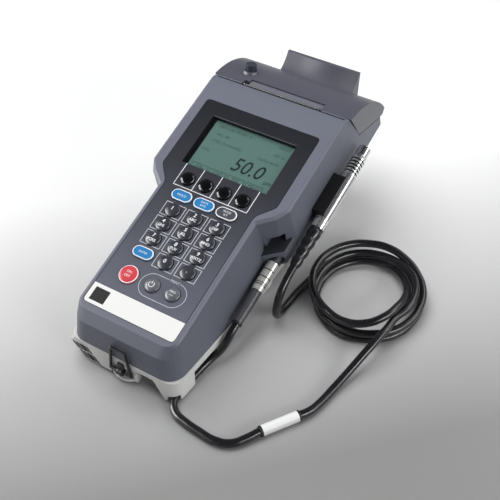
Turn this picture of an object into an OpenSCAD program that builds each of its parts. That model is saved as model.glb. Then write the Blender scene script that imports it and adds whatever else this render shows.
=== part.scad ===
// Coating thickness gauge with built-in printer, hand probe and probe cable

/* [Case] */
// Slope of the operating panel
panel_tilt = 17; // [10:0.5:22]
// Height of the panel plane above the table at the front edge
panel_rise = 43.8; // [40:0.2:50]
// Width of the grip's top face
grip_w = 77; // [74:0.5:80]
// Width of the grip at its front where it meets the lower case
grip_base_w = 83.1; // [81:0.1:86]
// Width of the head's top face
head_w = 108; // [106:0.5:112]
// Flare of each of the head's side walls below its rounded edge
head_flare = 1.5; // [1:0.1:2.5]
// Depth of the head square to the panel
head_depth = 58; // [54:0.5:60]
// Height of the split between upper and lower case
split_z = 19.5; // [17:0.5:21]
// Height of the lower case's floor above the table
floor_z = 14; // [13:0.5:15]
// Wall thickness of the mouldings
wall = 2.5; // [2:0.1:3]
// Thickness of the panel plate
plate_t = 3; // [2.5:0.1:3.5]

/* [Panel] */
// Width of the overlay on the grip
overlay_w = 70; // [66:0.5:72]
// Width of the overlay on the head
overlay_head_w = 90.2; // [86:0.2:94]
// Upper end of the overlay, along the slope
overlay_top = 184.5; // [182:0.5:188]
// Thickness of the overlay and the label
overlay_t = 0.5; // [0.3:0.1:0.8]
// Height of the label, along the slope
label_h = 14.6; // [12:0.2:15]
// Width of the display window
lcd_w = 67; // [60:0.5:70]
// Height of the display window, along the slope
lcd_h = 43; // [38:0.5:45]
// Lower edge of the display window, along the slope
lcd_y = 130; // [129:0.5:132]

/* [Keys] */
// Diameter of a number key
key_d = 11; // [10:0.1:11.4]
// Height of a number key's dome above the panel
key_h = 2.6; // [2:0.1:3.2]
// Column pitch of the number keys
key_pitch_x = 17.3; // [16.5:0.1:18]
// Row pitch of the number keys, along the slope
key_pitch_y = 12.1; // [12:0.1:12.4]
// First row of the number keys, along the slope
key_row_y = 93.1; // [92:0.1:94]
// Diameter of a soft key
soft_d = 10.6; // [10:0.1:12]
// Pitch of the soft keys
soft_pitch = 14.4; // [13:0.1:15]
// Row of the soft keys, along the slope
soft_y = 118.8; // [118:0.1:119.5]
// Length of a mode key
mode_l = 15.6; // [14:0.1:16]
// Width of a mode key
mode_w = 8.6; // [8:0.1:9]
// Row of the mode keys, along the slope
mode_y = 105.2; // [105:0.1:106]
// Diameter of the red key
red_d = 13.6; // [12:0.1:14]
// Row of the red key and the printer keys, along the slope
tool_y = 39.4; // [38:0.1:40.5]
// Diameter of a printer key
tool_d = 10.4; // [9:0.1:11]
// Gap between a key and its hole
key_gap = 0.3; // [0.2:0.05:0.4]
// Travel of a key
key_travel = 0.5; // [0.3:0.1:0.7]

/* [Printer] */
// Radius of the cover's arched top
cover_r = 68.8; // [68:0.1:70]
// Thickness of the cover
cover_t = 3.2; // [2.8:0.1:3.6]
// Width of the paper fin on the cover
fin_w = 61; // [56:1:66]
// Width of the paper slot
slot_w = 64; // [62:0.5:66]
// Diameter of the platen roller
platen_d = 10; // [9:0.2:10.4]
// Diameter of the paper roll
roll_d = 34; // [30:0.5:34.4]
// Width of the paper roll
roll_w = 57; // [50:0.5:58]
// Diameter of the release button
button_d = 8; // [7:0.2:9]
// Height of the release button above its collar
button_h = 4.6; // [4:0.2:6]

/* [Probe] */
// Diameter of the probe's barrel
barrel_d = 11.5; // [10:0.1:12]
// Diameter of the probe's tip
tip_d = 9.4; // [8:0.1:9.8]
// Diameter of the plug
plug_d = 8.6; // [8:0.1:9.2]
// Diameter of the cable
cable_d = 5.5; // [4:0.1:6]
// Outer radius of the cable coil
coil_r = 42; // [40:0.5:44]
// Radial build of the cable coil
coil_w = 11.4; // [8:0.2:12]
// Height of the cable coil
coil_h = 21; // [18:0.5:24]

/* [Strap] */
// Diameter of the strap ring's wire
wire_d = 2; // [1.6:0.1:2.4]
// Height of the strap ring between its wire centres
ring_h = 21; // [18:0.5:22]
// Width of the strap ring at its foot
ring_foot_w = 16; // [14:0.5:18]
// Width of the strap ring at its top
ring_top_w = 11; // [9:0.5:12]

/* [Hidden] */
$fn = 48;
layer = 0.2;
sink = 2;
fit_gap = 0.3;
seat_gap = 0.1;
run_gap = 0.05;
corner_steps = 6;

// Grip outline along the slope and at the split
edge_r = 1.6;
grip_front_w = 5.3;
grip_back_w = 118;
grip_corner_r = 9;
base_front_y = 0.5;
base_back_y = 118;
base_corner_r = 12;
bevel_y = 1.4;
bevel_z = split_z + 18.5;
draft = (grip_base_w - grip_w) / 2 / (panel_rise - split_z);
bevel_half = grip_w / 2 + draft * (panel_rise - bevel_z) - 0.2;
base_rear_half = grip_base_w / 2 + draft * tan(panel_tilt) * base_back_y;

// Head outline along the slope
head_front = 105;
shoulder_in = [grip_w / 2 - 2.5, head_front];
shoulder_mid = [head_w / 2 - 5.5, 115.5];
shoulder_out = [head_w / 2, 125];
head_back = 254;
head_corner_r = 3;
head_base_w = head_w + 2 * head_flare;
flare_depth = 24;

// Split between the case and the printer cover, as points in the side view
split_front = [201.7, 101.2];
split_vee = [218.4, 77.9];
split_rear = [258.5, 70.1];
top_rear = [192.7, 102.7];
far = 300;
arch_c = [split_front[0] + 5.7, split_front[1] - sqrt(cover_r * cover_r - 5.7 * 5.7)];
arch_end_y = 261.3;
arch_end = [arch_end_y, arch_c[1] + sqrt(cover_r * cover_r - pow(arch_end_y - arch_c[0], 2))];
fin_back = 268.3;
fin_top_z = 93.5;
hinge = [split_rear[0] + 1.2, split_rear[1] + 0.1];
pin_r = 1.2;
knuckle_r = 2.6;
knuckle_x = 18;
pin_half = 28;
button_x = -34.3;
button_y = 217.2;
button_lean = atan2(button_y - arch_c[0], cover_r);
platen_c = [206.6, 91.6];
roll_c = [231, 74.4];
platen_half = slot_w / 2 - 3;
cheek_t = 2.4;
tear_t = 1;
tear_h = 6.4;
print_t = 4;
print_y = split_front[0] - 5.4;
print_z = 82;
chassis_y = print_y - print_t;
chassis_z = [46, 94];

// Panel layout
recess = overlay_t + 0.1;
label_y = 11.3;
overlay_shoulder = [111.5, 123.5];
overlay_r = 3;
mode_pitch = 17.5;
printer_key_x = [1.3, 16.7];
key_base = -plate_t;

// Probe and plug, in the panel's own frame
probe_depth = 36;
clip_y = [147, 180];
clip_lip = 2.6;
barrel_y = [146, 186];
ridge_end = 202;
tip_end = 213;
stem_r = 2.5;
boot_y = [106, 138];
plug_depth = 36.5;
plug_x = wall_x(-plug_depth) + plug_d / 2 + 1.6;
socket_wall = 121;
plug_y = [79, 102];
plug_boot_end = 52;
bay_top = -19.5;
bay_front = 104.5;
bay_bite = 0.3;
bay_out = 51.5;
shelf_top = 27.7;
shelf_t = 14.9;
shelf_front = 98;
shelf_in = wall_x(-shelf_top) - 1.1;
shelf_out = plug_x + 6;
probe_x = max(head_base_w / 2 + 7.5, shelf_out + barrel_d / 2 + 1);

// Lower case
foot_h = 2;
foot_r = 6;
post_x = 28;
post_y = 32;
pedestal_half = 40;
pedestal_y = [112, 236];
pedestal_z = 4;
bay_half = 29;
bay_y = [138, 196];
lid_t = 2;
cell_r = 7.1;
cell_l = 50;
screw_x = 32;
screw_y = [24, 100];
screw_r = 1.5;
lug_y = -1.4;
lug_z = 9.6;
lug_r = 2.3;
lip_z = 2.6;
lip_reach = 2.4;
pad_x = -41.5;
pad_w = 13.7;
pad_run = 10.6;
pad_back = 3.4;
pad_top = split_z - 3.5;
tray_corner_r = 8;
tray_proud = 0.6;
arch_z = split_z - 3.9;
arch_x = [11.4, 25, 33];
lug_l = 4;

// Boards and display
board_w = 68;
board_y = [34, 122];
sheet_w = 56;
sheet_y = [30, lcd_y - 6];
board_t = 1.6;
sheet_t = 1.2;
sheet_n = -plate_t - 0.8 - sheet_t;
board_n = sheet_n - board_t;
post_d = 5;
board_posts = [[-31, 40], [31, 40], [-31, 112], [31, 112]];
glass_depth = 4.6;

// Cable route, hand chosen
lead_route = [
    [49, 55, 21.4], [48.2, 50.5, 16.8], [46.2, 46, 11.4], [43.2, 40.5, 7.4], [40.8, 33, 4.8], [39.4, 24, 3.4],
    [38.6, 14, 2.9],
    [38.5, 6, 2.9], [40.5, -1, 2.9], [45.5, -6, 2.9], [54, -8.5, 2.9], [66, -10, 2.9], [78, -10.5, 2.9],
    [87, -7, 2.9], [93.5, 1, 3.3], [98, 9, 3.7], [113, 32, 3.7], [117, 39, 3.4], [119.4, 48, 3.1],
    [121.3, 59.5, 3.5], [124.4, 75.5, 6.2], [127.2, 88, 9.8], [129.6, 98, 13], [131.4, 107.5, 14.6],
    [132.6, 116.5, 14.8], [134.6, 126.5, 14.6], [136.4, 136, 14.9]];
tail_route = [
    [63, 104.4, 37.8], [63.1, 98, 34.4], [63.2, 93, 29.6], [63.2, 90, 24], [63, 89, 18], [62.4, 90.6, 12.4],
    [61.6, 95, 7.5], [60.6, 102, 4.2], [60.2, 111, 3], [60.6, 122, 2.9], [61.6, 132.5, 2.9], [63, 142, 2.9],
    [64.5, 150, 2.9]];
coil_c = [104.3, 145];
tag_d = cable_d + 1.6;
tag_ends = [[98, 9, 3.7], [113, 32, 3.7]];
cable_sides = 10;

// Centre of the object's box without the free cable
mid_x = -(probe_x + barrel_d / 2 - head_base_w / 2) / 2;
mid_y = -(fin_back - lip_reach) / 2;

case_grey = [0.33, 0.34, 0.38];
base_grey = [0.62, 0.62, 0.63];
cover_grey = [0.27, 0.28, 0.31];
dark = [0.06, 0.06, 0.07];
silver = [0.75, 0.75, 0.76];
overlay_grey = [0.2, 0.21, 0.25];

NUMBER_KEYS = ["key_1", "key_2", "key_3", "key_4", "key_5", "key_6", "key_7", "key_8", "key_9", "key_0", "key_dot"];

// Frames
module place() translate([mid_x, mid_y, 0]) children();
module on_panel() translate([0, 0, panel_rise]) rotate([panel_tilt, 0, 0]) children();
module along_slope(x, y, n) on_panel() translate([x, y, n]) rotate([-90, 0, 0]) children();
module side_view(half) rotate([90, 0, 90]) translate([0, 0, -half]) linear_extrude(2 * half) children();
module front_view(y0, y1) translate([0, y1, 0]) rotate([90, 0, 0]) linear_extrude(y1 - y0) children();
// Half-width of the grip's drafted side wall, by depth below the panel
function wall_x(n) = grip_w / 2 - draft * n / cos(panel_tilt);
function panel_point(x, y, n) = [x, y * cos(panel_tilt) - n * sin(panel_tilt),
    panel_rise + y * sin(panel_tilt) + n * cos(panel_tilt)];

// Polygon with rounded corners
function unit(v) = v / norm(v);
function corner_arc(a, b, c, r) = let(
        p = unit(a - b), q = unit(c - b), half = acos(p * q) / 2, o = b + unit(p + q) * r / sin(half),
        s = b + p * r / tan(half) - o, e = b + q * r / tan(half) - o, a0 = atan2(s[1], s[0]),
        turn = (atan2(e[1], e[0]) - a0 + 540) % 360 - 180)
    [for (i = [0 : corner_steps]) o + r * [cos(a0 + turn * i / corner_steps), sin(a0 + turn * i / corner_steps)]];
function rounded(pts, r) = let(n = len(pts))
    [for (i = [0 : n - 1]) each corner_arc(pts[(i + n - 1) % n], pts[i], pts[(i + 1) % n], r)];
function base_pts(inset) = [[-grip_base_w / 2 + inset, base_front_y + inset], [grip_base_w / 2 - inset, base_front_y + inset],
    [base_rear_half - inset, base_back_y], [inset - base_rear_half, base_back_y]];
function box_pts(half, y0, y1) = [[-half, y0], [half, y0], [half, y1], [-half, y1]];
function mirrored(pts) = concat(pts, [for (i = [len(pts) - 1 : -1 : 0]) [-pts[i][0], pts[i][1]]]);
module slab(pts, z, t = layer) translate([0, 0, z - t]) linear_extrude(t) polygon(pts);

// Outer forms of the case
module grip_form() hull() {
    on_panel() slab(rounded(box_pts(grip_w / 2 - edge_r, grip_front_w + edge_r, grip_back_w), grip_corner_r - edge_r), 0);
    on_panel() slab(rounded(box_pts(grip_w / 2, grip_front_w, grip_back_w), grip_corner_r), -edge_r);
    slab(rounded(box_pts(bevel_half, bevel_y, base_back_y / 2), base_corner_r - 1), bevel_z);
    slab(rounded(base_pts(-draft * sink), base_corner_r), split_z - sink);
}
module grip_void() hull() {
    on_panel() slab(box_pts(grip_w / 2 - wall - 1, grip_front_w + wall + 3, grip_back_w + 4), -plate_t);
    slab(box_pts(grip_base_w / 2 - wall, base_front_y + wall + 3, base_back_y + 4), split_z - 2 * sink);
}
function head_pts(half, grow, inset) = mirrored([
    [shoulder_in[0], shoulder_in[1] - grow + 2 * inset],
    [shoulder_mid[0] + grow - inset, shoulder_mid[1] - grow + inset],
    [half - inset, shoulder_out[1] - grow], [half - inset, head_back - inset]]);
module head_form() on_panel() hull() {
    slab(rounded(head_pts(head_w / 2, 0, edge_r), head_corner_r), 0);
    slab(rounded(head_pts(head_w / 2, 0, 0), head_corner_r), -edge_r);
    slab(rounded(head_pts(head_base_w / 2, 1, 0), head_corner_r), -flare_depth);
    slab(rounded(head_pts(head_base_w / 2, 1, 0), head_corner_r), layer - head_depth);
}
module head_void() on_panel() hull() {
    slab(head_pts(head_w / 2, 0, wall), -plate_t);
    slab(head_pts(head_w / 2, 0, wall), wall - head_depth);
}
module cover_zone(drop) side_view(head_base_w) polygon([
    [top_rear[0], top_rear[1]], [split_front[0] - drop / 2, split_front[1] - drop / 2],
    [split_vee[0] - drop / 2, split_vee[1] - drop], [far, split_rear[1] - drop - (far - split_rear[0]) * 0.195],
    [far, far], [top_rear[0], far]]);

// Panel cut-outs
function overlay_pts(grow) = mirrored([
    [overlay_w / 2 + grow, label_y - grow], [overlay_w / 2 + grow, overlay_shoulder[0] + grow / 2],
    [overlay_head_w / 2 + grow, overlay_shoulder[1] + grow / 2], [overlay_head_w / 2 + grow, overlay_top + grow]]);
function key_x(i) = ((i % 3) - 1) * key_pitch_x;
function key_y(i) = key_row_y - floor(i / 3) * key_pitch_y;
// Grid cells 0 to 8 are the digits, 9 the blue key, 10 the zero and 11 the dot
function number_cell(i) = i < 9 ? i : i + 1;
module stadium(l, w, t) linear_extrude(t) union() {
    square([l - w, w], center = true);
    for (s = [-1, 1]) translate([s * (l - w) / 2, 0]) circle(d = w);
}
module key_holes(depth) {
    for (i = [0 : 11]) if (i != 9) translate([key_x(i), key_y(i), -depth])
        cylinder(d = key_d + 2 * key_gap, h = depth + 1);
    for (i = [0 : 3]) translate([(i - 1.5) * soft_pitch, soft_y, -depth])
        cylinder(d = soft_d + 2 * key_gap, h = depth + 1);
    for (i = [-1 : 1]) translate([i * mode_pitch, mode_y, -depth])
        stadium(mode_l + 2 * key_gap, mode_w + 2 * key_gap, depth + 1);
    translate([key_x(9), key_y(9), -depth]) stadium(mode_l + 2 * key_gap, mode_w + 2 * key_gap, depth + 1);
    translate([key_x(0), tool_y, -depth]) cylinder(d = red_d + 2 * key_gap, h = depth + 1);
    for (x = printer_key_x) translate([x, tool_y, -depth]) cylinder(d = tool_d + 2 * key_gap, h = depth + 1);
}

// Case
module upper_case() place() color(case_grey) difference() {
    union() {
        case_shell();
        on_panel() translate([0, 0, -shelf_top - shelf_t]) linear_extrude(shelf_t) polygon([
            [shelf_in, shelf_front], [shelf_out - 0.7, shelf_front + 11], [shelf_out, shelf_front + 12],
            [shelf_out, socket_wall + 2], [shelf_in, socket_wall + 2]]);
    }
    along_slope(plug_x, shelf_front - 6, -plug_depth) cylinder(d = plug_d + 1.2, h = socket_wall - shelf_front + 6);
    along_slope(plug_x, socket_wall - 1, -plug_depth) cylinder(d = plug_d - 2 + 2 * seat_gap, h = wall + 6);
}
module bay_fill() on_panel() translate([wall_x(bay_top) - bay_bite - wall, shelf_front, -far])
    cube([far, socket_wall + wall - shelf_front, far + bay_top + wall]);
module bay_cut(top, bottom, out) on_panel() translate([0, socket_wall, 0]) rotate([90, 0, 0])
    linear_extrude(socket_wall - bay_front) polygon([
        [wall_x(top) - bay_bite, top], [out, top], [out, bottom], [wall_x(bottom) - bay_bite, bottom]]);
module case_shell() difference() {
    union() {
        difference() {
            union() {
                grip_form();
                head_form();
            }
            grip_void();
            difference() {
                head_void();
                bay_fill();
            }
        }
        for (p = board_posts) on_panel() translate([p[0], p[1], board_n + board_t])
            cylinder(d = post_d, h = -board_n - board_t - plate_t + 1);
        for (x = [-screw_x, screw_x], y = screw_y) translate([x, y, split_z])
            cylinder(d = 7, h = panel_rise + y * tan(panel_tilt) - 1.7 - split_z);
        for (s = [-1, 1]) translate([s * (knuckle_x + 5), hinge[0], hinge[1]]) case_knuckle(8);
    }
    cover_zone(fit_gap);
    translate([0, 0, -far + split_z]) linear_extrude(far) square(2 * far, center = true);
    on_panel() slab(rounded(overlay_pts(0.2), overlay_r), 1, 1 + recess);
    on_panel() key_holes(plate_t + 1);
    on_panel() translate([-lcd_w / 2, lcd_y, -plate_t - 1]) cube([lcd_w, lcd_h, plate_t + 2]);
    bay_cut(bay_top, -shelf_top - 1, bay_out);
    bay_cut(-shelf_top, -far, far);
    for (x = [-screw_x, screw_x], y = screw_y) translate([x, y, split_z - 1]) cylinder(r = screw_r, h = 13);
    translate([-slot_w / 2, split_front[0] - tear_t - 0.3, split_front[1] - tear_h])
        cube([slot_w, 4, tear_h + 4]);
    for (s = [-1, 1]) translate([s * (knuckle_x - 5), hinge[0], hinge[1]]) rotate([0, 90, 0])
        cylinder(r = knuckle_r + fit_gap, h = 8.6, center = true);
    translate([0, hinge[0], hinge[1]]) rotate([0, 90, 0]) cylinder(r = pin_r, h = 2 * pin_half, center = true);
}
module case_knuckle(l) rotate([0, 90, 0]) difference() {
    union() {
        cylinder(r = knuckle_r, h = l, center = true);
        translate([knuckle_r, -1.6, 0]) cube([2 * knuckle_r, 2 * knuckle_r - 2, l], center = true);
    }
}

// Lower case: a shallow tray with a skirt, front posts and a rear pedestal
module tray_outline(inset) polygon(rounded(base_pts(inset - tray_proud), tray_corner_r - inset));
module lower_case() place() color(base_grey) difference() {
    union() {
        translate([0, 0, floor_z]) linear_extrude(wall) tray_outline(0);
        difference() {
            translate([0, 0, 1.5]) linear_extrude(split_z - 1.5 - seat_gap) tray_outline(0);
            translate([0, 0, -1]) linear_extrude(split_z + 2) tray_outline(wall);
            front_view(-9, 30) polygon([[-far, -1], [-far, pad_top], [pad_x + pad_w, pad_top],
                [pad_x + pad_w + pad_run, lip_z], [-9.2, lip_z], [-9.2, floor_z - 1.4], [9.2, floor_z - 1.4],
                [arch_x[0], arch_z], [arch_x[1], arch_z], [arch_x[2], 1], [arch_x[2], -1]]);
            translate([-far / 2, 20, -1]) cube([far, far, floor_z + 1]);
            translate([35.2, -9, -1]) cube([6.6, 40, 7.4]);
        }
        for (x = [-post_x, post_x]) translate([x, post_y, foot_h]) cylinder(r = foot_r + 1, h = floor_z - foot_h + 1);
        pedestal();
        strap_lug();
    }
    translate([arch_x[0], -9, floor_z - 1]) cube([arch_x[1] - arch_x[0], 17, arch_z - floor_z + 1]);
    for (x = [-screw_x, screw_x], y = screw_y) {
        translate([x, y, floor_z - 1]) cylinder(r = screw_r + 0.2, h = 20);
        translate([x, y, floor_z - 1]) cylinder(r = 3.1, h = 1 + 1.2);
    }
    front_view(-9, pad_back + fit_gap) polygon([[-far, -1], [-far, pad_top], [pad_x + pad_w, pad_top],
        [pad_x + pad_w + pad_run, lip_z], [pad_x + pad_w + pad_run, -1]]);
    translate([-bay_half, bay_y[0], pedestal_z - 1]) cube([2 * bay_half, bay_y[1] - bay_y[0], 20]);
    translate([-bay_half - 2, bay_y[0] - 2, pedestal_z - 1]) cube([2 * bay_half + 4, bay_y[1] - bay_y[0] + 4, 1 + lid_t]);
}
module pedestal() difference() {
    pedestal_form(0, pedestal_z);
    pedestal_form(wall, pedestal_z + lid_t + wall);
    on_panel() translate([-far / 2, -far / 2, -head_depth - seat_gap]) cube([far, 2 * far, far]);
}
module pedestal_form(inset, z) translate([0, 0, z]) linear_extrude(80)
    polygon(rounded(box_pts(pedestal_half - inset, pedestal_y[0] + inset, pedestal_y[1] - inset), 5));
module strap_lug() {
    translate([0, lug_y, lug_z]) rotate([0, 90, 0]) difference() {
        union() {
            cylinder(r = lug_r, h = lug_l, center = true);
            translate([-floor_z + lug_z + 1, 3, 0]) cube([8, 6, lug_l], center = true);
        }
        cylinder(r = wire_d / 2 + run_gap, h = 20, center = true);
    }
    translate([0, 0, lip_z]) linear_extrude(2) difference() {
        polygon(concat([for (a = [-40 : 8 : 40]) [14 * sin(a), 14 - lip_reach - 14 * cos(a)]], [[9, 6], [-9, 6]]));
        translate([-7, 0.4]) square([14, 3.4]);
    }
    for (s = [-1, 1]) translate([s * 9.6 - 1.4, 1, lip_z]) cube([2.8, 5, floor_z - lip_z + 1]);
}
module front_pad() place() color(dark) difference() {
    front_view(0.2, pad_back) polygon([[pad_x, pad_top - seat_gap], [pad_x + pad_w - 2 * seat_gap, pad_top - seat_gap],
        [pad_x + pad_w + pad_run - 2 * seat_gap, lip_z], [pad_x + pad_run, lip_z]]);
    for (i = [0 : 3]) translate([pad_x + 1.7 + i * pad_w / 4.4, 0, pad_top])
        rotate([0, atan2(pad_top - lip_z, pad_run), 0]) translate([-3, 0.1, -0.45]) cube([30, 1.2, 0.9]);
}
module rubber_feet() place() color(dark) {
    for (x = [-post_x, post_x]) translate([x, post_y, 0]) cylinder(r = foot_r, h = foot_h);
    for (x = [-post_x, post_x], y = [pedestal_y[0] + 14, pedestal_y[1] - 16]) translate([x, y, 0])
        cylinder(r = foot_r, h = pedestal_z);
}
module battery_lid() place() color(base_grey) translate([-bay_half - 2 + fit_gap, bay_y[0] - 2 + fit_gap, pedestal_z])
    difference() {
        cube([2 * bay_half + 4 - 2 * fit_gap, bay_y[1] - bay_y[0] + 4 - 2 * fit_gap, lid_t - seat_gap]);
        for (i = [0 : 4]) translate([bay_half - 8, 4 + i * 2.4, -0.1]) cube([20, 1.2, 0.7]);
    }
module battery_cells() place() color([0.25, 0.25, 0.27])
    for (i = [0 : 3]) translate([0, bay_y[0] + cell_r + 0.2 + i * (2 * cell_r + 0.1), pedestal_z + lid_t + cell_r]) {
        rotate([0, 90, 0]) cylinder(r = cell_r, h = cell_l - 1, center = true);
        translate([(i % 2) * cell_l - cell_l / 2, 0, 0]) rotate([0, 90, 0]) cylinder(r = 2.6, h = 2, center = true);
    }
module case_screws() place() color(silver)
    for (x = [-screw_x, screw_x], y = screw_y) translate([x, y, floor_z + 1.2 - 2.1]) {
        difference() {
            cylinder(r = 2.9, h = 2);
            for (a = [0, 90]) rotate(a) translate([-2, -0.4, -0.1]) cube([4, 0.8, 0.9]);
        }
        cylinder(r = screw_r - run_gap, h = 16);
    }

// Panel
module panel_overlay() place() color(overlay_grey) on_panel() difference() {
    slab(rounded(overlay_pts(0), overlay_r), 0, overlay_t);
    translate([-far / 2, -far + label_y + label_h + 0.1, -1]) cube([far, far, 2]);
    key_holes(plate_t);
    translate([-lcd_w / 2, lcd_y, -1]) cube([lcd_w, lcd_h, 2]);
}
module label_plate() place() color("white") on_panel() intersection() {
    slab(rounded(overlay_pts(0), overlay_r), 0, overlay_t);
    translate([-far / 2, label_y - 1, -1]) cube([far, label_h + 1, 2]);
}
module lcd_window() place() color([0.8, 0.9, 0.9, 0.4]) on_panel()
    translate([-lcd_w / 2 + seat_gap, lcd_y + seat_gap, -1.6]) cube([lcd_w - 2 * seat_gap, lcd_h - 2 * seat_gap, 1]);
module lcd_module() place() color([0.35, 0.5, 0.42]) on_panel() translate([0, lcd_y + lcd_h / 2, 0]) difference() {
    translate([-lcd_w / 2 - 4, -lcd_h / 2 - 4, -9.4]) cube([lcd_w + 8, lcd_h + 8, 9.4 - plate_t - 0.2]);
    translate([-lcd_w / 2 - 0.5, -lcd_h / 2 - 0.5, -glass_depth]) cube([lcd_w + 1, lcd_h + 1, 4]);
}
module key_sheet() place() color([0.3, 0.3, 0.3]) on_panel() translate([-sheet_w / 2, sheet_y[0], sheet_n])
    cube([sheet_w, sheet_y[1] - sheet_y[0], sheet_t]);
module main_board() place() color([0.1, 0.35, 0.2]) on_panel() {
    difference() {
        translate([-board_w / 2, board_y[0], board_n]) cube([board_w, board_y[1] - board_y[0], board_t]);
        for (x = [-screw_x, screw_x]) translate([x, screw_y[1] / cos(panel_tilt), board_n]) cube([8.6, 14, 9], center = true);
    }
}

// Keys
module round_key(x, y, d, h) place() on_panel() translate([x, y, 0]) rotate_extrude() {
    polygon(concat([[0, key_base], [d / 2, key_base]],
        [for (a = [0 : 9 : 90]) [d / 2 - 1.6 * (1 - cos(a)) - (d / 2 - 1.6) * (a / 90) * (a / 90), 0.4 + (h - 0.4) * sin(a)]]));
}
module long_key(x, y, l, w, h) place() on_panel() translate([x, y, key_base]) {
    stadium(l, w, h - key_base - 0.5);
    translate([0, 0, h - key_base - 0.5]) stadium(l - 1, w - 1, 0.5);
}
module soft_key(i) color(dark) round_key((i - 1.5) * soft_pitch, soft_y, soft_d, key_h + 0.4);
module mode_key(i) color(i < 2 ? [0.1, 0.5, 0.85] : [0.4, 0.41, 0.45])
    long_key((i - 1) * mode_pitch, mode_y, mode_l, mode_w, 1.4);
module number_key(i) color(overlay_grey) round_key(key_x(number_cell(i)), key_y(number_cell(i)), key_d, key_h);
module blue_key() color([0.1, 0.5, 0.85]) long_key(key_x(9), key_y(9), mode_l, mode_w, 1.4);
module red_key() color([0.9, 0.2, 0.25]) round_key(key_x(0), tool_y, red_d, 1.8);
module printer_key(i) color(overlay_grey) round_key(printer_key_x[i], tool_y, tool_d, key_h);

// Printer
function arch(r, y0, y1, n) = [for (i = [0 : n]) let(y = y0 + (y1 - y0) * i / n)
    [y, arch_c[1] + sqrt(r * r - pow(y - arch_c[0], 2))]];
module printer_cover() place() color(cover_grey) difference() {
    union() {
        difference() {
            side_view(head_base_w / 2) polygon(concat(arch(cover_r, split_front[0] + 0.2, arch_end_y, 16),
                [[split_rear[0] + 0.6, split_rear[1] + 0.2], [split_vee[0], split_vee[1] + 0.2]]));
            side_view(head_base_w / 2 - wall) polygon(concat(
                arch(cover_r - cover_t, split_front[0] - 3, arch_end_y - 6, 12),
                [[arch_end_y - 6, split_rear[1] - 6], [split_vee[0], split_vee[1] - 6], [split_front[0] - 3, split_vee[1]]]));
        }
        side_view(fin_w / 2) polygon([[arch_end_y - 7, arch_end[1] + 4], [arch_end_y - 3.2, arch_end[1] + 8.2],
            [arch_end_y + 1.2, arch_end[1] + 12], [fin_back - 1.8, fin_top_z], [fin_back, fin_top_z],
            [fin_back - 1.3, arch_end[1] - 1], [arch_end_y - 1, arch_end[1] - 1.4]]);
        for (s = [-1, 1]) translate([s * (knuckle_x - 5), hinge[0], hinge[1]]) rotate([0, 90, 0]) {
            cylinder(r = knuckle_r, h = 8, center = true);
            translate([-2.6, -0.6, 0]) cube([4, 3, 8], center = true);
        }
        for (s = [-1, 1]) translate([s * (platen_half + 0.8 + cheek_t / 2), 0, 0]) side_view(cheek_t / 2)
            polygon([[platen_c[0] - 3, platen_c[1] - 3], [platen_c[0] + 3, platen_c[1] - 3],
                [platen_c[0] + 9, arch_c[1] + cover_r - 2], [platen_c[0] - 2, arch_c[1] + cover_r - 2]]);
        translate([button_x, button_y, 0]) button_axis() cylinder(r1 = 6, r2 = button_d / 2 + 1, h = 2);
    }
    translate([-slot_w / 2, split_front[0] - 1, split_front[1] - 6]) cube([slot_w, 2.6, 12]);
    translate([-slot_w / 2 + 4, split_front[0] - 1, split_front[1] - 1.2]) cube([slot_w - 4, 8, 6]);
    translate([-slot_w / 2, split_front[0] - 1, split_front[1] - 6]) cube([5, 5, 12]);
    translate([button_x, button_y, 0]) button_axis() translate([0, 0, -9]) cylinder(d = button_d + 2 * fit_gap, h = 20);
    translate([0, platen_c[0], platen_c[1]]) rotate([0, 90, 0]) cylinder(r = 1.5 + run_gap, h = far, center = true);
    translate([0, hinge[0], hinge[1]]) rotate([0, 90, 0]) cylinder(r = pin_r + run_gap, h = far, center = true);
    for (s = [-1, 1]) translate([s * (knuckle_x + 5), hinge[0], hinge[1]]) rotate([0, 90, 0])
        cylinder(r = knuckle_r + fit_gap, h = 8.6, center = true);
}
// Axis square to the arch at the release button, from the arch's surface
module button_axis() translate([0, 0, arch_c[1] + sqrt(cover_r * cover_r - pow(button_y - arch_c[0], 2))])
    rotate([-button_lean, 0, 0]) translate([0, 0, -0.3]) children();
module release_button() place() color(cover_grey) translate([button_x, button_y, 0]) button_axis() {
    cylinder(d = button_d, h = 2 + button_h);
    translate([0, 0, -8]) cylinder(d = button_d, h = 8);
}
module platen_roller() place() color(dark) translate([0, platen_c[0], platen_c[1]]) rotate([0, 90, 0]) {
    cylinder(d = platen_d, h = 2 * platen_half, center = true);
    cylinder(r = 1.5, h = 2 * platen_half + 1.6 + 2 * cheek_t, center = true);
}
module tear_bar() place() color(silver) difference() {
    translate([-slot_w / 2 + 1, split_front[0] - tear_t - 0.2, split_front[1] - tear_h + 0.1])
        cube([slot_w - 2, tear_t, tear_h + 0.2]);
    for (i = [0 : 30]) translate([-slot_w / 2 + 2 + i * 2, split_front[0] - 3, split_front[1] + 0.2]) rotate([0, 45, 0])
        cube([0.5, 6, 0.5]);
}
module print_head() place() color([0.15, 0.3, 0.25]) {
    translate([-slot_w / 2 + 1, print_y, print_z])
        cube([slot_w - 2, print_t, split_front[1] - tear_h - print_z]);
    translate([-slot_w / 2 + 4, chassis_y, chassis_z[0]])
        cube([slot_w - 8, print_t, chassis_z[1] - chassis_z[0]]);
}
module paper_roll() place() color([0.95, 0.95, 0.93]) translate([0, roll_c[0], roll_c[1]]) rotate([0, 90, 0]) difference() {
    cylinder(d = roll_d, h = roll_w, center = true);
    cylinder(d = 12, h = roll_w + 1, center = true);
}
module hinge_pin() place() color(silver) translate([0, hinge[0], hinge[1]]) rotate([0, 90, 0])
    cylinder(r = pin_r - run_gap, h = 2 * pin_half - 1, center = true);

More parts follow.
